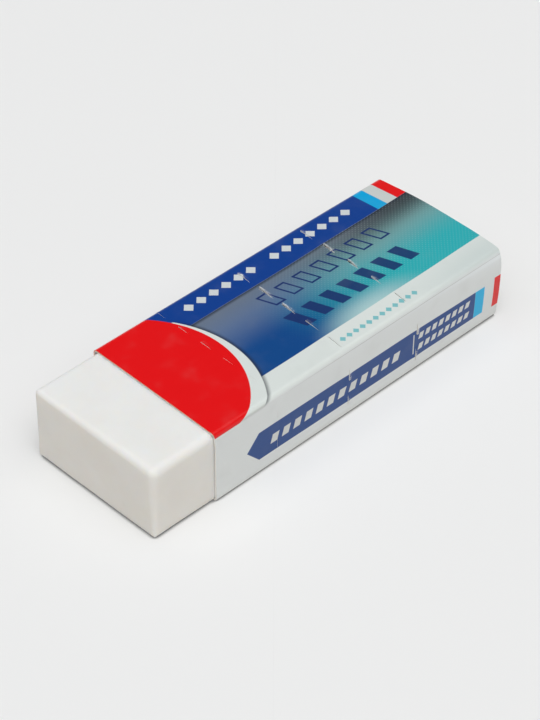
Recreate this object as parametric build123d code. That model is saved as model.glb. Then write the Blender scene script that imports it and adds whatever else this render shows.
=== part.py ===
"""A rubber eraser: a white vinyl block in a folded card sleeve.

Millimetres, +Z up. +X runs along the block, from its bare working end to the sleeve's open far end, and -Y
is the narrow side whose card is a single layer. The origin is at the middle of the whole object's underside,
where the sleeve's bottom panel rests.
"""

import math
import os

from build123d import *

# Eraser block
ERASER_LENGTH = 63.2
ERASER_WIDTH = 22.6
ERASER_HEIGHT = 11.2
ERASER_EDGE_RADIUS = 0.9
BARE_END = 10.6  # how far the working end stands out of the sleeve
FAR_RECESS = 2.0  # how far the other end lies inside the sleeve

# Card sleeve, folded round the block and glued to itself on its +Y side
CARD = 0.25  # thickness of the card
SLIDING_FIT = 0.05  # gap between the block and the card, on each face
FLAP_GAP = 1.1  # from the upper edge of the glue flap, inside the +Y side, to the fold above it
LAP_GAP = 0.4  # from the lower cut edge of the +Y side's outer layer to the fold below it

# The sleeve's section is crisp at its front and has grown slack and rounder at its far end
TOP_FOLD_RADIUS = (0.7, 1.1)  # outer radius of the two upper folds: front, far end
LOW_FOLD_RADIUS = (0.5, 1.1)
TOP_BOW = (0.25, 0.55)  # how far each panel bows out at its middle: front, far end
NEAR_SIDE_BOW = (0.06, 0.85)
SEAM_SIDE_BOW = (0.04, 0.3)
SLACK_POWER = 3  # the slack grows with this power of the distance from the front
SECTIONS = 5  # cross-sections that the sleeve's skin runs through
FOOT = 1.0  # depth below the underside that is cut away

# Tear lines: rows of short slits right round the sleeve, each slit with a small hook at one end
FIRST_ROW = 11.1  # from the sleeve's front edge
ROW_PITCH = 13.25
LAST_BAND = 8.0  # least length of sleeve beyond the last row
SLIT_LENGTH = 2.2
SLIT_PITCH = 4.6
SLIT_GAP = 0.12
HOOK_LENGTH = 0.45
FOLD_MARGIN = 1.2  # uncut card kept beside each fold
CUT_REACH = 1.5  # how far a slit's cutter runs past the card on each side

# Fits: the sleeve is folded round the block, and its +Y side holds a second layer of card
sleeve_width = ERASER_WIDTH + 2 * SLIDING_FIT + 3 * CARD
sleeve_height = ERASER_HEIGHT + 2 * SLIDING_FIT + 2 * CARD
sleeve_length = ERASER_LENGTH - BARE_END + FAR_RECESS

# Places in the object's frame
front_x = -(BARE_END + sleeve_length) / 2
mouth_x = front_x + BARE_END
near_y = (NEAR_SIDE_BOW[1] - SEAM_SIDE_BOW[1] - sleeve_width) / 2
seam_y = near_y + sleeve_width
block_y = near_y + CARD + SLIDING_FIT + ERASER_WIDTH / 2
block_z = CARD + SLIDING_FIT + ERASER_HEIGHT / 2


def eraser_block():
    """The vinyl block, with every edge slightly rounded."""
    block = Box(ERASER_LENGTH, ERASER_WIDTH, ERASER_HEIGHT)
    block = fillet(block.edges(), ERASER_EDGE_RADIUS)
    return Pos(front_x + ERASER_LENGTH / 2, block_y, block_z) * block


def at_share(front_and_far, share):
    """One of the section's sizes at a share of the sleeve's length, from its crisp front to its slack end."""
    front, far = front_and_far
    return front + (far - front) * share**SLACK_POWER


def panel_line(start, end, bow):
    """One panel's line across the section, run anticlockwise, with its middle bowed out."""
    along = Vector(*end) - Vector(*start)
    outward = Vector(along.Y, -along.X).normalized()
    middle = (Vector(*start) + Vector(*end)) * 0.5 + outward * bow
    return ThreePointArc(start, (middle.X, middle.Y), end)


def fold_arc(centre, radius, start_angle):
    """A quarter circle round a fold, run anticlockwise from start_angle in degrees."""
    return CenterArc(centre, radius, start_angle, 90)


def section(share, inside):
    """The closed outline of the card at a share of the sleeve's length, in the plane of Y and Z.

    inside is False for the outer face and True for the inner face. The +Y side has a step where a layer ends:
    on the outer face at the lap's lower edge, and on the inner face at the flap's upper edge. The outer face
    runs FOOT below the underside, to be cut off there, so that what the sleeve rests on is a true plane.
    """
    inset = inside * CARD
    top_radius = at_share(TOP_FOLD_RADIUS, share)
    low_radius = at_share(LOW_FOLD_RADIUS, share)
    flap_radius = LOW_FOLD_RADIUS[0]
    left = near_y + inset
    right = seam_y - inset
    top = sleeve_height - inset
    flap_y = right - CARD
    flap_top = sleeve_height - max(TOP_FOLD_RADIUS) - FLAP_GAP
    step_z = flap_top if inside else flap_radius + LAP_GAP
    top_fold_z = sleeve_height - top_radius
    flap_fold = (seam_y - CARD - flap_radius, flap_radius)
    low_left = (near_y + low_radius, inset)
    low_right = (flap_fold[0], inset)
    foot_left = (low_left[0], -FOOT)
    foot_right = (low_right[0], -FOOT)
    outer_bottom = [Line(low_left, foot_left), Line(foot_left, foot_right), Line(foot_right, low_right)]
    inner_bottom = [Line(low_left, low_right)]
    edges = [
        *(inner_bottom if inside else outer_bottom),
        fold_arc(flap_fold, flap_radius - inset, -90),
        Line((flap_y, flap_radius), (flap_y, step_z)),
        Line((flap_y, step_z), (right, step_z)),
        panel_line((right, step_z), (right, top_fold_z), at_share(SEAM_SIDE_BOW, share)),
        fold_arc((seam_y - top_radius, top_fold_z), top_radius - inset, 0),
        panel_line((seam_y - top_radius, top), (near_y + top_radius, top), at_share(TOP_BOW, share)),
        fold_arc((near_y + top_radius, top_fold_z), top_radius - inset, 90),
        panel_line((left, top_fold_z), (left, low_radius), at_share(NEAR_SIDE_BOW, share)),
        fold_arc((near_y + low_radius, low_radius), low_radius - inset, 180),
    ]
    plane = Plane.YZ.offset(mouth_x + share * sleeve_length)
    return plane * Wire(edges)


def skin(inside):
    """A solid whose surface is the sleeve's outer or inner face."""
    shares = [i / (SECTIONS - 1) for i in range(SECTIONS)]
    return Solid.make_loft([section(share, inside) for share in shares])


def slit_cutter(hook_end):
    """Cuts one slit: local X along the sleeve, local Y round it, local Z through the card.

    The hook points along local X, from the end that hook_end names: 1 or -1 along local Y.
    """
    depth = 2 * CUT_REACH
    slit = Box(SLIT_GAP, SLIT_LENGTH, depth)
    hook = Box(HOOK_LENGTH, SLIT_GAP, depth)
    hook_place = Pos((HOOK_LENGTH - SLIT_GAP) / 2, hook_end * (SLIT_LENGTH - SLIT_GAP) / 2, 0)
    return slit + hook_place * hook


def slit_places(width):
    """Where the middles of a row's slits lie across a panel of this width, from its own middle."""
    count = math.floor((width - 2 * FOLD_MARGIN - SLIT_LENGTH) / SLIT_PITCH) + 1
    return [(i - (count - 1) / 2) * SLIT_PITCH for i in range(count)]


def row_places():
    """How far each tear line is from the sleeve's front edge."""
    count = math.floor((sleeve_length - FIRST_ROW - LAST_BAND) / ROW_PITCH) + 1
    return [FIRST_ROW + i * ROW_PITCH for i in range(count)]


def tear_lines():
    """The cutters of every row of slits, on all four panels."""
    mid_y = (near_y + seam_y) / 2
    mid_z = sleeve_height / 2
    # each panel's middle, its outward direction, its width and the end of its slits that has the hook
    panels = [
        ((0, mid_y, sleeve_height), (0, 0, 1), sleeve_width, 1),
        ((0, mid_y, 0), (0, 0, -1), sleeve_width, 1),
        ((0, near_y, mid_z), (0, -1, 0), sleeve_height, -1),
        ((0, seam_y, mid_z), (0, 1, 0), sleeve_height, -1),
    ]
    cutters = []
    for row_place in row_places():
        for middle, outward, width, hook_end in panels:
            plane = Plane(middle, x_dir=(1, 0, 0), z_dir=outward)
            for place in slit_places(width):
                cutters.append(plane * Pos(mouth_x + row_place, place, 0) * slit_cutter(hook_end))
    return cutters


def card_sleeve():
    """The folded card with its glued side, slack far end and tear lines."""
    foot = Pos(0, 0, -FOOT) * Box(2 * sleeve_length, 2 * sleeve_width, 2 * FOOT)
    return skin(inside=False) - foot - skin(inside=True) - tear_lines()


pieces = {
    "eraser_block": eraser_block(),
    "card_sleeve": card_sleeve(),
}

os.makedirs("parts", exist_ok=True)
for name, piece in pieces.items():
    export_step(piece, f"parts/{name}.step")
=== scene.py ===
import math

import bpy
import numpy as np
from mathutils import Matrix, Vector, noise


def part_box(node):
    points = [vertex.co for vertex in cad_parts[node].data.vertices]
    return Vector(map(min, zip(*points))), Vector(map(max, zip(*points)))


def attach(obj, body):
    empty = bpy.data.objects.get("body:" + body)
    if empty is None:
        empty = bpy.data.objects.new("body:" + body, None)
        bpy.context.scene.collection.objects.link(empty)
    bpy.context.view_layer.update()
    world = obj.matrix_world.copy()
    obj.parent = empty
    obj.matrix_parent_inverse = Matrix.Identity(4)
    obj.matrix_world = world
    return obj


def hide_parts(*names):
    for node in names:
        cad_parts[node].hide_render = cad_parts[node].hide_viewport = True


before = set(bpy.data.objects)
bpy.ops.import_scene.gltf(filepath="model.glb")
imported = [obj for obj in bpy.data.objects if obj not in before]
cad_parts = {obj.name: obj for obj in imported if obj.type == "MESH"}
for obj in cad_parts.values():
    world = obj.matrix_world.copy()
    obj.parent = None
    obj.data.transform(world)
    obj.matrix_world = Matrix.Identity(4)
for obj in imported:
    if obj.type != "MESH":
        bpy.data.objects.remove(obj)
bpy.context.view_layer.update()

MM = 0.001

# ---------------------------------------------------------------- sizes, from the frame
block_low, block_high = (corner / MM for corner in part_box("eraser_block"))
sleeve_low, sleeve_high = (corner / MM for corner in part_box("card_sleeve"))

CARD = 0.25  # thickness of the card
# The sleeve is crisp at its front and slack at its far end, so these sizes are pairs: front, far end
TOP_FOLD_RADIUS = (0.7, 0.9)  # outer radius
LOW_FOLD_RADIUS = (0.5, 0.6)
TOP_BOW = (0.06, 0.55)  # how far the top bows out
NEAR_SIDE_BOW = (0.06, 0.85)  # the CAD model's bow on the -Y side
SEAM_SIDE_BOW = (0.04, 0.3)
SIDE_BOW_SHOWN = 0.5  # share of the CAD model's bow that the -Y side has here
SLACK_POWER = 3  # the slack grows with this power of the distance from the front

# Shapes of the bows: a greater power is flatter in the middle, and a lean under 1 is fullest near the top
PLAIN_BOW_POWER = 2.0
TOP_BOW_POWER = 2.1
NEAR_BOW_POWER = 2.2
NEAR_BOW_LEAN = 0.62

LAP_GAP = 0.4  # from the seam panel's lower cut edge to the fold below it
LAP_CLEARANCE = 0.01  # between the seam panel and the glue flap inside it
FLAP_TOP = 9.6  # upper edge of the glue flap, inside the +Y side
FLAP_SET_BACK = 0.35  # the flap's front edge lies a little behind the sleeve's

mouth_x = sleeve_low.x
sleeve_length = sleeve_high.x - sleeve_low.x
near_y = sleeve_low.y + NEAR_SIDE_BOW[1]
seam_y = sleeve_high.y - SEAM_SIDE_BOW[1]
top_z = sleeve_high.z - TOP_BOW[1]
panel_width = seam_y - near_y
near_low = panel_width + top_z  # the lower -Y fold's place round the card, as s below

# Tear lines: rows of short slits round the sleeve, with a hook at one end of each
ROWS = (11.1, 24.35, 37.6)  # distance of each row from the front edge
HOOK = 0.45
LIP_REACH = 0.7  # the card in front of a slit is moved up to this far from it
FLAP_REACH = 0.65  # the card beyond a slit is lifted up to this far from it
# The rows and the front edge run slightly askew: place along the sleeve, then the shift in X at the +Y top
# fold, at the -Y top fold, and on the -Y side
SKEW = (
    (0.0, 0.20, -0.28, 0.0),
    (ROWS[0], 0.18, -0.30, 0.0),
    (ROWS[1], 0.50, -0.65, 0.15),
    (ROWS[2], 0.10, -0.88, 0.20),
    (sleeve_length, 0.0, 0.0, 0.0),
)

# For each row, how far open it is, its slits on the top (first middle and pitch as s, half length), and the
# heights of its slits' middles on the -Y side. The second and third rows have been bent open.
SLIT_ROWS = (
    (0.25, (1.08, 4.52, 1.1), (8.45, 3.6)),
    (0.85, (3.28, 4.55, 1.38), (6.95, 2.65)),
    (1.0, (2.53, 4.65, 1.2), (7.25, 2.75)),
)
WIDE_SLIT_COUNT = 5  # on the top, and on the underside
BENT_SLITS = (1, 2)  # the slits on the top that are open the most
SIDE_HALF = 1.0  # half the length of a slit on the narrow sides
SEAM_SLIT_HEIGHTS = (8.2, 3.6)
UNDER_SLITS = (2.6, 4.6, 1.1)  # first middle from the lower -Y fold, pitch, half length


# ---------------------------------------------------------------- node graphs
def srgb(red, green, blue):
    """A linear colour from 8-bit sRGB values."""
    channels = []
    for value in (red, green, blue):
        share = value / 255
        channels.append(share / 12.92 if share <= 0.04045 else ((share + 0.055) / 1.055) ** 2.4)
    return (*channels, 1.0)


def grey(value):
    return (value, value, value, 1.0)


class Graph:
    """Builds a material's or world's nodes. Values may be numbers, colours or other nodes' outputs."""

    def __init__(self, owner):
        self.owner = owner
        owner.use_nodes = True
        self.tree = owner.node_tree
        self.tree.nodes.clear()

    def feed(self, socket, value):
        if isinstance(value, bpy.types.NodeSocket):
            self.tree.links.new(value, socket)
        elif value is not None:
            socket.default_value = value

    def node(self, kind, inputs=None, **settings):
        made = self.tree.nodes.new(kind)
        for name, value in settings.items():
            setattr(made, name, value)
        for name, value in (inputs or {}).items():
            self.feed(made.inputs[name], value)
        return made

    def math(self, operation, a, b=None, clamp=False):
        made = self.node("ShaderNodeMath", operation=operation, use_clamp=clamp)
        self.feed(made.inputs[0], a)
        self.feed(made.inputs[1], b)
        return made.outputs[0]

    def add(self, a, b):
        return self.math("ADD", a, b)

    def subtract(self, a, b):
        return self.math("SUBTRACT", a, b)

    def times(self, a, b):
        return self.math("MULTIPLY", a, b)

    def size(self, a):
        return self.math("ABSOLUTE", a)

    def least(self, a, b):
        return self.math("MINIMUM", a, b)

    def most(self, a, b):
        return self.math("MAXIMUM", a, b)

    def invert(self, a):
        return self.math("SUBTRACT", 1.0, a, clamp=True)

    def rise(self, value, start, end):
        """0 before start and 1 after end, smooth between. With start above end it falls instead."""
        falls = start > end
        made = self.node("ShaderNodeMapRange", interpolation_type="SMOOTHSTEP")
        self.feed(made.inputs["Value"], value)
        made.inputs["From Min"].default_value = min(start, end)
        made.inputs["From Max"].default_value = max(start, end)
        made.inputs["To Min"].default_value = 1.0 if falls else 0.0
        made.inputs["To Max"].default_value = 0.0 if falls else 1.0
        return made.outputs["Result"]

    def between(self, value, low, high, soft=0.05):
        """1 from low to high, with soft edges."""
        above = self.rise(value, low - soft, low + soft)
        below = self.rise(value, high + soft, high - soft)
        return self.times(above, below)

    def distance(self, x, y, centre):
        dx = self.subtract(x, centre[0])
        dy = self.subtract(y, centre[1])
        return self.math("SQRT", self.add(self.times(dx, dx), self.times(dy, dy)))

    def lay(self, under, over, mask):
        """over laid on under where mask is 1."""
        made = self.node("ShaderNodeMix", data_type="RGBA")
        self.feed(made.inputs[0], mask)
        self.feed(made.inputs[6], under)
        self.feed(made.inputs[7], over)
        return made.outputs[2]

    def noise(self, vector, scale, detail=2.0, roughness=0.5):
        inputs = {"Vector": vector, "Scale": scale, "Detail": detail, "Roughness": roughness}
        return self.node("ShaderNodeTexNoise", inputs).outputs["Fac"]

    def bump(self, height, strength, distance, normal=None):
        made = self.node("ShaderNodeBump", {"Height": height, "Strength": strength, "Distance": distance})
        self.feed(made.inputs["Normal"], normal)
        return made.outputs["Normal"]

    def print_place(self):
        """Where a point is in the sleeve's print: the whole vector, then its x, s and depth."""
        place = self.node("ShaderNodeAttribute", attribute_name="print_mm").outputs["Vector"]
        parts = self.node("ShaderNodeSeparateXYZ", {"Vector": place})
        return place, parts.outputs["X"], parts.outputs["Y"], parts.outputs["Z"]

    def rays(self, *kinds):
        """1 for rays of any of the named kinds."""
        path = self.node("ShaderNodeLightPath")
        total = path.outputs[kinds[0]]
        for kind in kinds[1:]:
            total = self.most(total, path.outputs[kind])
        return total

    def show(self, shader, output="ShaderNodeOutputMaterial"):
        """Ends the graph with a shader's output, and returns the finished material or world."""
        self.node(output, {"Surface": shader})
        return self.owner

    def finish(self, **inputs):
        """The surface shader, with each input under its own name, blanks written as underscores."""
        named = {name.replace("_", " "): value for name, value in inputs.items()}
        return self.show(self.node("ShaderNodeBsdfPrincipled", named).outputs[0])


# ---------------------------------------------------------------- the sleeve's print
# x is the distance from the front edge, and s the distance round the card: 0 at the +Y top fold,
# panel_width at the -Y top fold, and on down the -Y side. On the +Y side s is negative.
PAPER = srgb(224, 231, 228)
PAPER_FAR_END_SHADE = srgb(209, 219, 217)  # painted shade: the margin's far end, darker where the light on the bowed card falls off
# painted light: the top's paper, made lighter and cooler on the -Y side to offset the warm light the floor
# bounces onto it
SIDE_PAPER_PAINTED_LIGHT = srgb(233, 240, 243)
NAVY = srgb(12, 64, 147)
# painted light: the top's navy ink, made a little lighter on the narrow sides to offset the sheen there
SIDE_NAVY_PAINTED_LIGHT = srgb(18, 70, 142)
SKY = srgb(0, 170, 228)
# painted light: the top's sky-blue ink, made lighter on the narrow sides to offset the sheen there
SIDE_SKY_PAINTED_LIGHT = srgb(0, 190, 246)
RED = srgb(236, 12, 18)
DEEP_BLUE = srgb(14, 74, 141)
TEAL = srgb(46, 178, 185)
PALE_AQUA = srgb(180, 214, 216)
SLATE = srgb(98, 120, 156)
CHARCOAL = srgb(112, 123, 136)
FAR_CHARCOAL = srgb(52, 59, 64)
FAR_PALE_GREY = srgb(120, 165, 166)
FAR_DARK_GREY = srgb(60, 68, 72)
PANEL_SHADE = srgb(16, 24, 50)  # the printed shadow along the dark band
DOT_TINT = srgb(190, 222, 222)
WEAVE_SHADE = srgb(20, 40, 70)
INK_BLUE = srgb(26, 50, 108)
MARGIN_TEAL = srgb(110, 190, 197)
DIAMOND_WHITE = srgb(214, 220, 222)
STRIPE_WHITE = srgb(208, 214, 212)
MARK_WHITE = srgb(222, 227, 228)
RIM_SHADE = srgb(30, 36, 52)
# bare torn card, and also the painted highlight on the slits' lifted lips
TORN_CARD_AND_HIGHLIGHT = srgb(243, 245, 246)
SPLIT_SHADE = srgb(96, 100, 104)
RUBBED_INK = srgb(120, 132, 160)
# real grime, and also the painted shade along the -Y crease
GRIME_AND_CREASE_SHADE = srgb(150, 152, 150)

MIDDLE = 11.73  # the top panel's own middle line, as s
BAND = (-1.6, 5.55)  # the dark band, as s
PANEL = (5.55, 19.61)  # the graded panel, as s
END_STRIPES = ((48.95, 50.8, SKY), (50.8, 52.8, STRIPE_WHITE), (52.8, 60.0, RED))  # across the band, as x
DOT_PITCH = 0.62
WEAVE_PITCH = 0.5

# Plain geometric rows, where a sleeve of this kind carries its wording
OUTLINED_BARS = dict(
    start=22.4, end=46.2, count=7, middle=MIDDLE - 2.6,
    half_height=1.55, slant=-0.35, half_width=0.95, stroke=0.3,
)
SOLID_BARS = dict(
    start=22.2, end=45.8, count=7, middle=MIDDLE + 3.1,
    half_height=1.75, slant=-0.35, half_width=0.92,
)
MARGIN_BEADS = dict(start=24.4, end=39.6, count=12, middle=MIDDLE + 9.95, reach=0.52)
BAND_DIAMONDS = (
    dict(start=13.8, end=27.8, count=6, middle=MIDDLE - 9.1, reach=0.9),
    dict(start=30.0, end=46.4, count=7, middle=MIDDLE - 9.1, reach=0.9),
)

# The red field at the front, and the white rim behind it: circles in x and s
FIELD_CENTRE, FIELD_RADIUS = (-2.7, 10.43), 15.5
RIM_CENTRE, RIM_RADIUS = (-3.3, 12.03), 17.0
CIRCLE_SOFTNESS = 0.06

# The arrow bands on the two narrow sides: middle, upper and lower edge, as s
SIDE_BANDS = ((30.45, 28.12, 32.85), (-6.75, -9.1, -4.4))
ARROW_TIP = (5.46, 5.58)
ARROW_SLOPE = 0.93
ARROW_END = (49.58, 49.48)
SKY_BLOCK = (49.53, 51.39)
RED_BLOCK_START = (53.3, 53.4)
ARROW_MARKS = dict(start=9.6, end=34.8, count=12, half_height=0.72, slant=0.3, half_width=0.62)
ARROW_MARKS_RISE = 0.2  # from the band's middle to their own
RULE = (37.1, 37.3)
RULE_HALF_HEIGHT = 1.7
SMALL_MARKS = dict(start=38.0, end=48.6, count=8, half_height=0.5, slant=0.3, half_width=0.42)
SMALL_MARKS_RISE = 0.95


def repeated(g, along, start, end, count):
    """The distance along from the middle of each of the count equal cells between start and end."""
    pitch = (end - start) / count
    cell = g.math("FRACT", g.times(g.subtract(along, start), 1 / pitch))
    return g.times(g.subtract(cell, 0.5), pitch)


def row_of_bars(g, along, across, start, end, count, middle, half_height, slant, half_width, stroke=None):
    """A row of equal slanted bars between start and end, filled or as outlines of the given stroke."""
    softness = 0.04
    rise = g.subtract(across, middle)
    leaning = g.add(repeated(g, along, start, end, count), g.times(rise, slant))

    def bar(inset):
        width, height = half_width - inset, half_height - inset
        return g.times(
            g.rise(g.size(leaning), width + softness, width - softness),
            g.rise(g.size(rise), height + softness, height - softness),
        )

    mask = bar(0.0)
    if stroke:
        mask = g.times(mask, g.invert(bar(stroke)))
    return g.times(mask, g.between(along, start, end, 0.01))


def row_of_diamonds(g, along, across, start, end, count, middle, reach):
    """A row of equal diamonds between start and end."""
    softness = 0.05
    spread = g.add(g.size(repeated(g, along, start, end, count)), g.size(g.subtract(across, middle)))
    mask = g.rise(spread, reach + softness, reach - softness)
    return g.times(mask, g.between(along, start, end, 0.01))


def graded_panel(g, x, s):
    """Deep blue to teal along the sleeve, a pale glow by the margin, grey by the band, and two rows."""
    colour = g.lay(DEEP_BLUE, TEAL, g.rise(g.add(x, g.times(s, -0.35)), 14.0, 36.0))
    glow = g.distance(g.times(x, 0.42), s, (13.7, 20.4))
    colour = g.lay(colour, PALE_AQUA, g.times(g.rise(glow, 4.9, 0.6), 0.92))
    colour = g.lay(colour, SLATE, g.times(g.rise(s, 15.5, 8.0), g.rise(x, 62.0, 16.0)))
    far_grey = g.lay(FAR_PALE_GREY, FAR_DARK_GREY, g.rise(s, 12.0, 5.6))
    colour = g.lay(colour, far_grey, g.times(g.rise(x, 24.0, 44.0), g.rise(s, 16.5, 9.0)))
    charcoal = g.lay(CHARCOAL, FAR_CHARCOAL, g.rise(x, 36.0, 53.0))
    colour = g.lay(colour, charcoal, g.times(g.rise(s, 10.5, 4.5), 0.9))
    colour = g.lay(colour, PANEL_SHADE, g.times(g.rise(s, 6.25, 5.6), 0.75))

    # fine printed dots towards the far end, and a faint weave all over
    dots = g.least(
        g.math("SINE", g.times(g.add(x, s), 2 * math.pi / DOT_PITCH)),
        g.math("SINE", g.times(g.subtract(x, s), 2 * math.pi / DOT_PITCH)),
    )
    dot_mask = g.times(g.rise(dots, 0.35, 0.75), g.rise(x, 17.0, 40.0))
    colour = g.lay(colour, DOT_TINT, g.times(dot_mask, 0.22))
    weave = g.math("SINE", g.times(g.subtract(x, g.times(s, 2.0)), 2 * math.pi / WEAVE_PITCH))
    colour = g.lay(colour, WEAVE_SHADE, g.times(g.rise(weave, 0.2, 1.0), 0.10))

    outlined = row_of_bars(g, x, s, **OUTLINED_BARS)
    solid = row_of_bars(g, x, s, **SOLID_BARS)
    return g.lay(colour, INK_BLUE, g.most(outlined, g.times(solid, 0.94)))


def with_front_field(g, colour, x, s, panel):
    """Adds the red field at the front, with a round edge and a white rim that throws a printed shadow."""
    rim = g.distance(x, s, RIM_CENTRE)
    field = g.distance(x, s, FIELD_CENTRE)
    on_top = g.rise(s, 24.5, 23.6)
    shade = g.times(g.rise(rim, RIM_RADIUS + 0.75, RIM_RADIUS - 0.05), g.times(on_top, g.rise(s, 2.0, 6.5)))
    colour = g.lay(colour, RIM_SHADE, g.times(shade, g.add(0.72, g.times(panel, 0.1))))
    in_rim = g.rise(rim, RIM_RADIUS + CIRCLE_SOFTNESS, RIM_RADIUS - CIRCLE_SOFTNESS)
    colour = g.lay(colour, PAPER, g.times(in_rim, g.times(on_top, g.rise(s, 3.2, 3.6))))
    in_field = g.rise(field, FIELD_RADIUS + CIRCLE_SOFTNESS, FIELD_RADIUS - CIRCLE_SOFTNESS)
    return g.lay(colour, RED, g.times(in_field, g.between(s, -4.2, 24.25, 0.06)))


def with_side_band(g, colour, x, s, middle, low, high):
    """Adds one narrow side's arrow band, its two end blocks and its rows of marks."""
    in_band = g.between(s, low, high)
    away = g.size(g.subtract(s, middle))
    tip = g.rise(g.subtract(x, g.times(away, ARROW_SLOPE)), *ARROW_TIP)
    # painted light: the side band and the sky-blue block use the lightened copies of the inks
    colour = g.lay(colour, SIDE_NAVY_PAINTED_LIGHT, g.times(g.times(in_band, tip), g.rise(x, *ARROW_END)))
    colour = g.lay(colour, SIDE_SKY_PAINTED_LIGHT, g.times(in_band, g.between(x, *SKY_BLOCK)))
    in_red_block = g.times(g.between(s, low - 0.5, high + 0.1), g.rise(x, *RED_BLOCK_START))
    colour = g.lay(colour, RED, in_red_block)
    marks = row_of_bars(g, x, s, middle=middle + ARROW_MARKS_RISE, **ARROW_MARKS)
    rule = g.times(
        g.between(x, *RULE, 0.03),
        g.between(s, middle - RULE_HALF_HEIGHT, middle + RULE_HALF_HEIGHT, 0.03),
    )
    upper = row_of_bars(g, x, s, middle=middle - SMALL_MARKS_RISE, **SMALL_MARKS)
    lower = row_of_bars(g, x, s, middle=middle + SMALL_MARKS_RISE, **SMALL_MARKS)
    return g.lay(colour, MARK_WHITE, g.most(g.most(marks, rule), g.most(upper, lower)))


def printed_card():
    """The sleeve's printed outer face, glossy and a little worn, with painted highlights and painted shade
    at the slits.
    """
    g = Graph(bpy.data.materials.new("printed_card"))
    place, x, s, _ = g.print_place()
    wear_and_highlight = g.node("ShaderNodeAttribute", attribute_name="wear_and_highlight").outputs["Fac"]
    fibre = g.noise(place, scale=2.6, detail=3.0)
    blotch = g.noise(place, scale=0.25)

    # painted shade: the top margin darkens towards the far end
    far_end_shade = g.times(g.rise(x, 34.0, 52.0), g.rise(s, 18.0, 22.5))
    paper = g.lay(PAPER, PAPER_FAR_END_SHADE, far_end_shade)
    # painted light: the lighter, cooler copy of the paper on the -Y side
    paper = g.lay(paper, SIDE_PAPER_PAINTED_LIGHT, g.rise(s, 23.3, 24.3))
    in_band = g.between(s, *BAND)
    colour = g.lay(paper, NAVY, in_band)
    panel = g.between(s, *PANEL)
    colour = g.lay(colour, graded_panel(g, x, s), panel)
    colour = g.lay(colour, MARGIN_TEAL, g.times(row_of_diamonds(g, x, s, **MARGIN_BEADS), 0.9))
    first, second = (row_of_diamonds(g, x, s, **row) for row in BAND_DIAMONDS)
    colour = g.lay(colour, DIAMOND_WHITE, g.most(first, second))
    for start, end, ink in END_STRIPES:
        colour = g.lay(colour, ink, g.times(in_band, g.between(x, start, end)))
    colour = with_front_field(g, colour, x, s, panel)
    for middle, low, high in SIDE_BANDS:
        colour = with_side_band(g, colour, x, s, middle, low, high)

    # bare white torn card at the slits' lips with a painted highlight where the lifted lips catch the light,
    # painted shade in the splits, rubbed ink on the +Y top fold, faint overall grime
    ragged = g.add(wear_and_highlight, g.times(g.subtract(fibre, 0.5), 1.1))
    torn_and_highlight = g.times(g.rise(ragged, 0.35, 0.95), 0.8)
    # torn white card and painted highlight at the slits' lips
    colour = g.lay(colour, TORN_CARD_AND_HIGHLIGHT, torn_and_highlight)
    split = g.times(g.rise(wear_and_highlight, 0.75, 0.95), g.rise(fibre, 0.62, 0.78))
    # painted shade in the splits
    colour = g.lay(colour, SPLIT_SHADE, g.times(split, 0.5))
    rubbed = g.times(g.rise(g.size(s), 0.45, 0.1), g.rise(fibre, 0.56, 0.72))
    colour = g.lay(colour, RUBBED_INK, g.times(rubbed, 0.7))
    colour = g.lay(colour, GRIME_AND_CREASE_SHADE, g.times(g.rise(blotch, 0.5, 0.8), 0.06))

    # painted shade: a darker line along the crease just below the -Y top fold, from a little behind the
    # front
    crease_shade = g.times(g.between(s, panel_width + 0.72, panel_width + 0.84), g.rise(x, 8.0, 26.0))
    colour = g.lay(colour, GRIME_AND_CREASE_SHADE, g.times(crease_shade, 0.42))

    roughness = g.add(g.add(0.27, g.times(blotch, 0.06)), g.times(torn_and_highlight, 0.4))
    normal = g.bump(g.noise(place, scale=5.5), strength=0.35, distance=0.02 * MM)
    normal = g.bump(g.noise(place, scale=0.8), strength=0.5, distance=0.03 * MM, normal=normal)
    return g.finish(Base_Color=colour, Roughness=roughness, Normal=normal, IOR=1.4)


def raw_card():
    """Cut edges and the unprinted inner face: pale, fibrous, with a little ink drawn over the front."""
    g = Graph(bpy.data.materials.new("raw_card"))
    place, x, s, depth = g.print_place()
    fibre = g.noise(place, scale=4.0, detail=4.0, roughness=0.65)
    colour = g.lay(srgb(240, 240, 237), srgb(247, 247, 245), g.rise(fibre, 0.35, 0.65))
    inked = g.times(g.between(s, -4.0, 24.2, 0.3), g.rise(x, 1.2, 0.6))
    colour = g.lay(colour, srgb(228, 160, 136), g.times(inked, g.rise(depth, 1.0, 0.3)))
    normal = g.bump(fibre, strength=0.6, distance=0.03 * MM)
    return g.finish(Base_Color=colour, Roughness=0.85, Normal=normal, IOR=1.4)


def vinyl():
    """Matte white plasticised vinyl: faint grain, slight mottling, and some light passing under the skin."""
    g = Graph(bpy.data.materials.new("white_vinyl"))
    place = g.node("ShaderNodeTexCoord").outputs["Object"]
    mottle = g.noise(place, scale=160.0, detail=3.0)
    grain = g.noise(place, scale=3800.0, detail=3.0, roughness=0.6)
    smudge = g.noise(place, scale=420.0, detail=4.0, roughness=0.6)
    colour = g.lay(srgb(241, 242, 240), srgb(239, 239, 236), g.rise(mottle, 0.35, 0.7))
    colour = g.lay(colour, srgb(196, 192, 186), g.times(g.rise(smudge, 0.6, 0.8), 0.05))
    roughness = g.add(0.5, g.times(mottle, 0.16))
    normal = g.bump(grain, strength=0.35, distance=0.012 * MM)
    dimples = g.noise(place, scale=700.0, detail=3.0)
    normal = g.bump(dimples, strength=0.5, distance=0.02 * MM, normal=normal)
    return g.finish(
        Base_Color=colour,
        Roughness=roughness,
        Normal=normal,
        IOR=1.45,
        Subsurface_Weight=0.6,
        Subsurface_Radius=(1.0, 0.85, 0.7),
        Subsurface_Scale=1.5 * MM,
    )


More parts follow.
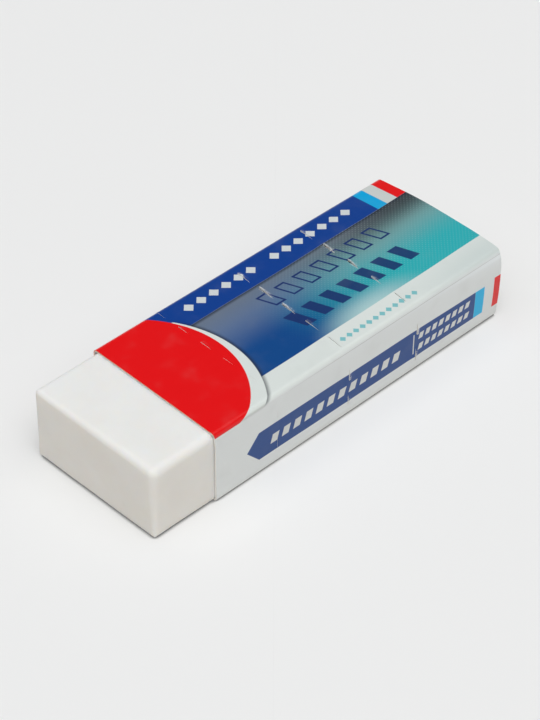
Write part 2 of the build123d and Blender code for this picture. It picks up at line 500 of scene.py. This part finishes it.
# ---------------------------------------------------------------- meshes
def in_scene(name, data):
    made = bpy.data.objects.new(name, data)
    bpy.context.scene.collection.objects.link(made)
    return made


def make_object(name, points, faces, material_of_face, materials, sharp_angle, attributes=None):
    """A mesh object in metres from points in millimetres, smooth except across edges sharper than the
    angle in degrees."""
    mesh = bpy.data.meshes.new(name)
    mesh.from_pydata((np.asarray(points) * MM).tolist(), [], [list(face) for face in faces])
    for material in materials:
        mesh.materials.append(material)
    mesh.polygons.foreach_set("material_index", np.asarray(material_of_face, np.int32))
    for key, (kind, field, values) in (attributes or {}).items():
        attribute = mesh.attributes.new(key, kind, "POINT")
        attribute.data.foreach_set(field, np.asarray(values, np.float32).ravel())
    mesh.shade_smooth()
    mesh.set_sharp_from_angle(angle=math.radians(sharp_angle))
    mesh.validate()
    return in_scene(name, mesh)


def at_share(front_and_far, share):
    """One of the sleeve's sizes at a share of its length."""
    front, far = front_and_far
    return front + (far - front) * share**SLACK_POWER


def bowed(start, end, bow, steps, power=PLAIN_BOW_POWER, lean=1.0):
    """Points from start up to, and not with, end, bowed out to the right of the line. A greater power is
    flatter in the middle, and a lean under 1 brings the fullest place nearer to the start."""
    start, end = np.array(start), np.array(end)
    along = end - start
    outward = np.array([along[1], -along[0]]) / np.linalg.norm(along)
    shares = np.arange(steps) / steps
    rise = bow * (1 - np.abs(2 * shares**lean - 1) ** power)
    return start + shares[:, None] * along + rise[:, None] * outward


def folded(centre, radius, start_angle, steps):
    """Points round a quarter fold, run anticlockwise, from its start up to and not with its end."""
    angles = np.radians(start_angle + 90 * np.arange(steps) / steps)
    return np.array(centre) + radius * np.stack([np.cos(angles), np.sin(angles)], 1)


STEPS = {"seam": 36, "fold": 8, "top": 90, "side": 42, "low": 5, "bottom": 46, "flap": 16}


def section(share):
    """The card's outer line across the sleeve, from the seam panel's lower edge over the top and round to
    the glue flap's upper edge: points in Y and Z, and the print's s at each."""
    top_radius = at_share(TOP_FOLD_RADIUS, share)
    low_radius = at_share(LOW_FOLD_RADIUS, share)
    flap_radius = LOW_FOLD_RADIUS[0]
    seam_bow = at_share(SEAM_SIDE_BOW, share)
    top_bow = at_share(TOP_BOW, share)
    near_bow = SIDE_BOW_SHOWN * at_share(NEAR_SIDE_BOW, share)

    flap_y = seam_y - CARD - LAP_CLEARANCE
    flap_fold_y = flap_y - flap_radius
    low_fold_y = near_y + low_radius
    fold_z = top_z - top_radius
    cut_z = flap_radius + LAP_GAP
    top_start = (seam_y - top_radius, top_z)
    top_end = (near_y + top_radius, top_z)
    near_start = (near_y, fold_z)
    near_end = (near_y, low_radius)

    near_top_s = panel_width - top_radius
    near_side_s = panel_width + top_radius
    low_side_s = near_low - low_radius
    under_s = near_low + low_radius
    flap_fold_s = near_low + flap_fold_y - near_y
    flap_s = near_low + panel_width
    end_s = flap_s + FLAP_TOP
    # each run's points, and the s at which it starts and ends
    runs = [
        (bowed((seam_y, cut_z), (seam_y, fold_z), seam_bow, STEPS["seam"]), cut_z - top_z, -top_radius),
        (folded((top_start[0], fold_z), top_radius, 0, STEPS["fold"]), -top_radius, top_radius),
        (bowed(top_start, top_end, top_bow, STEPS["top"], TOP_BOW_POWER), top_radius, near_top_s),
        (folded((top_end[0], fold_z), top_radius, 90, STEPS["fold"]), near_top_s, near_side_s),
        (bowed(near_start, near_end, near_bow, STEPS["side"], NEAR_BOW_POWER, NEAR_BOW_LEAN),
         near_side_s, low_side_s),
        (folded((low_fold_y, low_radius), low_radius, 180, STEPS["low"]), low_side_s, under_s),
        (bowed((low_fold_y, 0.0), (flap_fold_y, 0.0), 0.0, STEPS["bottom"]), under_s, flap_fold_s),
        (folded((flap_fold_y, flap_radius), flap_radius, 270, STEPS["low"]), flap_fold_s, flap_s),
        (bowed((flap_y, flap_radius), (flap_y, FLAP_TOP), 0.0, STEPS["flap"]), flap_s, end_s),
    ]
    points = [run for run, _, _ in runs] + [np.array([[flap_y, FLAP_TOP]])]
    rounds = [start + (end - start) * np.arange(len(run)) / len(run) for run, start, end in runs]
    rounds.append(np.array([end_s]))
    return np.concatenate(points), np.concatenate(rounds)


def stations():
    """Where the sleeve's mesh has its lines along X: about a millimetre apart, and closer at each row."""
    offsets = (-1.4, -0.95, -0.6, -0.35, -0.16, 0.0, 0.12, 0.24, 0.35, HOOK, 0.65, 0.95, 1.4)
    clear_of_row = 1.9
    fine = [row + offset for row in ROWS for offset in offsets]
    coarse = np.linspace(0, sleeve_length, 52)
    clear = [u for u in coarse if all(abs(u - row) > clear_of_row for row in ROWS)]
    return np.array(sorted(fine + clear))


def skew(u, s):
    """How far the sleeve's lines are shifted in X at u along it and s round it."""
    places = [entry[0] for entry in SKEW]
    at_seam, at_near, on_side = (np.interp(u, places, [entry[k] for entry in SKEW]) for k in (1, 2, 3))
    turns = [0.0, panel_width - 1.0, panel_width + 2.5, panel_width + 8.0]
    shift = np.interp(s, turns, [at_seam, at_near, on_side, 0.5 * on_side])
    flap_start = near_low + panel_width - 0.5
    set_back = FLAP_SET_BACK * max(0.0, 1 - u / 9)
    return shift + set_back * np.clip(s - flap_start, 0, 1)


def slits():
    """Every slit: its row, the s of its closed end and of its hooked end, and how far its lips part and
    lift."""
    dice = np.random.default_rng(7)
    found = []
    for row, (openness, (first, pitch, half), near_heights) in enumerate(SLIT_ROWS):
        for i in range(WIDE_SLIT_COUNT):
            middle = first + i * pitch
            keen = openness * (1.15 if i in BENT_SLITS else 0.6) * dice.uniform(0.85, 1.15)
            found.append((row, middle + half, middle - half, 0.12 * keen, 0.3 * keen))
        for z in near_heights:
            keen = openness * dice.uniform(0.7, 1.0)
            middle = near_low - z
            found.append((row, middle - SIDE_HALF, middle + SIDE_HALF, 0.14 * keen, 0.12 * keen))
        for z in SEAM_SLIT_HEIGHTS:
            middle = z - top_z
            found.append((row, middle + SIDE_HALF, middle - SIDE_HALF, 0.05, 0.03))
            if row > 0:
                middle = near_low + panel_width + z  # the same slit, in the glue flap behind
                found.append((row, middle + SIDE_HALF, middle - SIDE_HALF, 0.04, 0.0))
        first, pitch, half = UNDER_SLITS
        for i in range(WIDE_SLIT_COUNT):
            middle = near_low + first + i * pitch
            found.append((row, middle - half, middle + half, 0.05, 0.0))
    return found


def wave(u, x, s):
    """How far the card stands out at a place: slight waves, and a shallow buckle along each opened row. It
    fades out towards the front and at the top folds."""
    height = 0.07 * noise.noise(Vector((x * 0.11, s * 0.16, 3.7)))
    for row, depth in zip(ROWS[1:], (0.05, 0.06)):
        near = math.exp(-(((u - row) / 0.9) ** 2))
        height += depth * near * (0.4 + noise.noise(Vector((row, s * 0.5, 0.0))))
    edge = min(abs(s), abs(s - panel_width))
    share = max(0.0, x / sleeve_length)
    return height * min(1.0, edge / 2.0 + 0.2) * min(1.0, share * 3)


def nearest(values, wanted):
    return int(np.argmin(np.abs(values - wanted)))


class SleeveMesh:
    """The card's outer face as a grid, i along the sleeve and j round it, to be slit and then thickened."""

    def __init__(self):
        self.lines = stations()
        sections = [section(min(1.0, u / sleeve_length)) for u in self.lines]
        self.s = np.array([s for _, s in sections])
        x_grid = np.array([u + skew(u, s) for u, s in zip(self.lines, self.s)])
        grid = np.array([
            np.column_stack([mouth_x + x, points]) for x, (points, _) in zip(x_grid, sections)
        ])
        normals = np.cross(np.gradient(grid, axis=1), np.gradient(grid, axis=0))
        normals /= np.linalg.norm(normals, axis=2, keepdims=True)

        # the waves are on the outside panels only
        free = (self.s > -top_z + 2) & (self.s < near_low - 1)
        for i, j in np.argwhere(free):
            grid[i, j] += normals[i, j] * wave(self.lines[i], x_grid[i, j], self.s[i, j])

        self.points = list(grid.reshape(-1, 3))
        self.normals = list(normals.reshape(-1, 3))
        self.places = list(zip(x_grid.ravel(), self.s.ravel()))
        self.wear_and_highlight = [0.0] * len(self.points)
        self.index = np.arange(len(self.points)).reshape(self.s.shape)
        index = self.index
        self.corners = np.stack([index[:-1, :-1], index[:-1, 1:], index[1:, 1:], index[1:, :-1]], -1)

    def twin(self, original):
        """A copy of a point, for the other lip of a slit."""
        self.points.append(self.points[original].copy())
        self.normals.append(self.normals[original])
        self.places.append(self.places[original])
        self.wear_and_highlight.append(0.0)
        return len(self.points) - 1

    def cut(self, row, closed_s, hooked_s, gape, lift):
        """Cuts one slit right through, then parts and lifts its lips."""
        at = nearest(self.lines, ROWS[row])
        hook_at = nearest(self.lines, ROWS[row] + HOOK)
        closed = nearest(self.s[at], closed_s)
        hooked = nearest(self.s[at], hooked_s)
        low, high = min(closed, hooked), max(closed, hooked)
        towards = 1 if hooked > closed else -1
        cut_points = [self.index[at, j] for j in range(closed + towards, hooked + towards, towards)]
        cut_points += [self.index[i, hooked] for i in range(at + 1, hook_at)]
        twins = {original: self.twin(original) for original in cut_points}
        cells = self.corners[at:hook_at, low:high]
        for original, twin in twins.items():
            cells[cells == original] = twin

        torn = min(1.0, 8 * gape)
        for i in range(at - 3, hook_at + 2):
            offset = self.lines[i] - self.lines[at]
            for j in range(low, high + 1):
                original = self.index[i, j]
                q = abs(j - closed) / max(1, high - low)  # 0 at the closed end, 1 at the hooked end
                if i <= at:
                    fade = max(0.0, 1 + offset / LIP_REACH) ** 2
                    if j not in (closed, hooked):
                        arch = math.sin(math.pi * q)
                        self.points[original][0] -= 0.5 * gape * arch**0.7 * fade
                        self.points[original] += self.normals[original] * lift * 0.25 * arch * fade
                    # torn-card wear and painted highlight on the front lip
                    self.wear_and_highlight[original] = max(self.wear_and_highlight[original], 0.6 * torn * fade)
                mover = twins.get(original)
                if mover is None and at < i <= hook_at and low < j < high:
                    mover = original
                if mover is not None:
                    fade = max(0.0, 1 - offset / FLAP_REACH) ** 1.2
                    open_share = math.sin(0.5 * math.pi * q) ** 0.8
                    if i >= hook_at:
                        open_share *= 1 - q
                    self.points[mover][0] += 0.5 * gape * open_share * fade
                    self.points[mover] += self.normals[mover] * lift * open_share * fade
                    # torn-card wear and painted highlight on the lifted lip, strongest at the hooked end
                    self.wear_and_highlight[mover] = torn * (1 - 0.3 * offset / HOOK) * (0.35 + 0.65 * q)

    def thickened(self, name, materials):
        """The finished object: the outer face in the first material, and the rest in the second."""
        outer = self.corners.reshape(-1, 4)
        count = len(self.points)
        outer_points = np.array(self.points)
        inner_points = outer_points - np.array(self.normals) * CARD
        outer_points[:, 2] = np.maximum(outer_points[:, 2], 0.0)
        outer_faces = outer.tolist()
        edges = dict.fromkeys((face[k], face[(k + 1) % 4]) for face in outer_faces for k in range(4))
        walls = [(b, a, a + count, b + count) for a, b in edges if (b, a) not in edges]
        inner = outer[:, ::-1] + count
        faces = [*outer_faces, *inner.tolist(), *walls]
        kinds = [0] * len(outer) + [1] * (len(inner) + len(walls))
        prints = [(x, s, depth) for depth in (0.0, 1.0) for x, s in self.places]
        attributes = {
            "print_mm": ("FLOAT_VECTOR", "vector", prints),
            "wear_and_highlight": ("FLOAT", "value", self.wear_and_highlight * 2),
        }
        everything = np.concatenate([outer_points, inner_points])
        return make_object(name, everything, faces, kinds, materials, 38, attributes)


def build_sleeve():
    """The folded card, with its two faces, its cut edges, and its slits cut right through."""
    mesh = SleeveMesh()
    for slit in slits():
        mesh.cut(*slit)
    return mesh.thickened("printed_sleeve", [printed_card(), raw_card()])


# The block's mesh: its edges are rounded within a rim of closer lines, with even lines between the rims
RIM = 1.4
RIM_LINES = (0.0, 0.12, 0.25, 0.4, 0.55, 0.72, 0.9, 1.1)  # how far in from each end
BLOCK_LINES = (64, 34, 20)  # how many there are between the rims, along X, Y and Z


def lined_box(axes):
    """A box from -1 to 1, divided at the given places along each axis: its points and faces."""
    index, faces = {}, []
    for k in range(3):
        a, b = (k + 1) % 3, (k + 2) % 3
        for side in (-1.0, 1.0):
            for i in range(len(axes[a]) - 1):
                for j in range(len(axes[b]) - 1):
                    ring = []
                    for di, dj in ((0, 0), (1, 0), (1, 1), (0, 1)):
                        place = [0.0, 0.0, 0.0]
                        place[k] = side
                        place[a] = axes[a][i + di]
                        place[b] = axes[b][j + dj]
                        ring.append(index.setdefault(tuple(place), len(index)))
                    faces.append(ring if side > 0 else ring[::-1])
    return list(index), faces


def build_block():
    """The vinyl block: crisp along its lower edges and its upper +Y edge, rubbed rounder elsewhere, and
    shallowly dented."""
    low, high = np.array(block_low), np.array(block_high)
    centre, half = (low + high) / 2, (high - low) / 2
    axes = []
    for half_length, count in zip(half, BLOCK_LINES):
        rim = np.array(RIM_LINES) / half_length
        middle = np.linspace(-1 + RIM / half_length, 1 - RIM / half_length, count)
        axes.append(np.concatenate([-1 + rim, middle, (1 - rim)[::-1]]))
    points, faces = lined_box(axes)

    shaped = []
    for place in points:
        unit = np.array(place)
        height = 0.5 * (unit[2] + 1)
        near = 0.5 * (1 - unit[1])
        radius = 0.32 + (0.22 + 0.62 * near) * height**0.45
        radius *= 1 + 0.18 * noise.noise(Vector(unit * 2.3 + 5.0))
        spot = unit * half
        core = np.clip(spot, -(half - radius), half - radius)
        away = spot - core
        outward = away / np.linalg.norm(away)
        spot = core + outward * radius
        dent = 0.05 * (noise.noise(Vector(spot * 0.16 + 11.0)) - 0.25)
        shaped.append(centre + spot + outward * min(0.0, dent))
    return make_object("vinyl_block", shaped, faces, [0] * len(faces), [vinyl()], 60)


sleeve = build_sleeve()
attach(sleeve, "sleeve")
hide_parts("card_sleeve")

block = build_block()
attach(block, "eraser")
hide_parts("eraser_block")

# ---------------------------------------------------------------- floor, world, lights
BACKGROUND = srgb(239, 239, 239)
FLOOR_REACH = 6.0  # metres
FLOOR_SHOWN = srgb(241, 241, 240)
FLOOR_BOUNCE = srgb(226, 218, 208)  # the floor as it lights the object: a little warmer and duller
FLOOR_GLOW = (0.94, 0.965, 1.0, 1.0)
SHADOW_SHARE = 0.85  # how much of the floor's own shading the camera sees
CONTACT_SHADE = srgb(96, 94, 92)  # the floor in the narrow gap right under the object's edges
CONTACT_REACH = 1.0 * MM
WORLD_LIGHT = 0.17
CEILING = 0.04  # the dark ceiling that glossy surfaces reflect, above the pale walls
WALL_TOP = (0.5, 0.2)  # where the ceiling begins and the walls end, as a direction's Z
CAMERA_RAYS = ("Is Camera Ray",)
MIRROR_RAYS = ("Is Glossy Ray", "Is Transmission Ray")


def pale_floor():
    g = Graph(bpy.data.materials.new("pale_floor"))
    seen = g.rays(*CAMERA_RAYS, *MIRROR_RAYS)
    open_sky = g.node("ShaderNodeAmbientOcclusion", {"Distance": CONTACT_REACH}).outputs["AO"]
    shaded = g.lay(CONTACT_SHADE, FLOOR_SHOWN, g.rise(open_sky, 0.3, 0.7))
    diffuse = g.node("ShaderNodeBsdfDiffuse", {"Color": g.lay(FLOOR_BOUNCE, shaded, seen)})
    glow = g.node("ShaderNodeEmission", {"Color": FLOOR_GLOW, "Strength": 1.0})
    mixed = g.node("ShaderNodeMixShader")
    g.feed(mixed.inputs[0], g.times(seen, 1 - SHADOW_SHARE))
    g.feed(mixed.inputs[1], diffuse.outputs[0])
    g.feed(mixed.inputs[2], glow.outputs[0])
    return g.show(mixed.outputs[0])


def studio_world():
    """Plain soft light. The camera sees it as the pale background, and mirror rays as pale walls and a dark
    ceiling."""
    g = Graph(bpy.data.worlds.new("studio"))
    direction = g.node("ShaderNodeTexCoord").outputs["Generated"]
    elevation = g.node("ShaderNodeSeparateXYZ", {"Vector": direction}).outputs["Z"]
    mirrored = g.rays(*MIRROR_RAYS)
    sky = g.lay(grey(WORLD_LIGHT), grey(CEILING), mirrored)
    pale = g.most(g.rays(*CAMERA_RAYS), g.times(mirrored, g.rise(elevation, *WALL_TOP)))
    background = g.node("ShaderNodeBackground", {"Color": g.lay(sky, BACKGROUND, pale), "Strength": 1.0})
    return g.show(background.outputs[0], "ShaderNodeOutputWorld")


def lamp(name, kind, place, target, **settings):
    """A lamp at a place in metres, aimed at a target."""
    data = bpy.data.lights.new(name, kind)
    for key, value in settings.items():
        setattr(data, key, value)
    made = in_scene(name, data)
    made.location = place
    made.rotation_mode = "QUATERNION"
    made.rotation_quaternion = (Vector(target) - Vector(place)).to_track_quat("-Z", "Y")


reach = FLOOR_REACH
floor_corners = [(-reach, -reach, 0), (reach, -reach, 0), (reach, reach, 0), (-reach, reach, 0)]
floor_mesh = bpy.data.meshes.new("floor")
floor_mesh.from_pydata(floor_corners, [], [(0, 1, 2, 3)])
floor_mesh.materials.append(pale_floor())
floor = in_scene("floor", floor_mesh)

bpy.context.scene.world = studio_world()
lamp("overhead", "SUN", (-0.2, -0.22, 1.0), (0, 0, 0), energy=1.65, angle=math.radians(86))
lamp(
    "front_softbox", "AREA", (-0.4, -0.66, 1.85), (-0.01, 0, 0.006),
    shape="RECTANGLE", size=1.2, size_y=1.2, energy=11.25,
)
lamp(
    "strip", "AREA", (0.45, -0.2, 0.6), (0.01, 0, 0.01),
    shape="RECTANGLE", size=0.5, size_y=0.06, energy=0.12,
)

# ---------------------------------------------------------------- camera
AZIMUTH, ELEVATION, ROLL = (math.radians(value) for value in (-44.956, 40.245, 0.278))
TARGET = Vector((-2.034, -1.130, 6.0)) * MM
DISTANCE = 336.67 * MM
LENS = 125.09
SENSOR_WIDTH = 36.0

back = Vector((
    math.sin(AZIMUTH) * math.cos(ELEVATION),
    -math.cos(AZIMUTH) * math.cos(ELEVATION),
    math.sin(ELEVATION),
))
right = Vector((0, 0, 1)).cross(back).normalized()
up = back.cross(right)
rolled_right = right * math.cos(ROLL) + up * math.sin(ROLL)
rolled_up = up * math.cos(ROLL) - right * math.sin(ROLL)
camera_data = bpy.data.cameras.new("camera")
camera_data.lens = LENS
camera_data.sensor_width = SENSOR_WIDTH
camera_data.clip_start = 0.01
camera_data.clip_end = 100
camera = in_scene("camera", camera_data)
turn = Matrix((rolled_right, rolled_up, back)).transposed().to_4x4()
camera.matrix_world = Matrix.Translation(TARGET + back * DISTANCE) @ turn
bpy.context.scene.camera = camera
bpy.context.scene.view_settings.view_transform = "Standard"

bpy.context.view_layer.update()
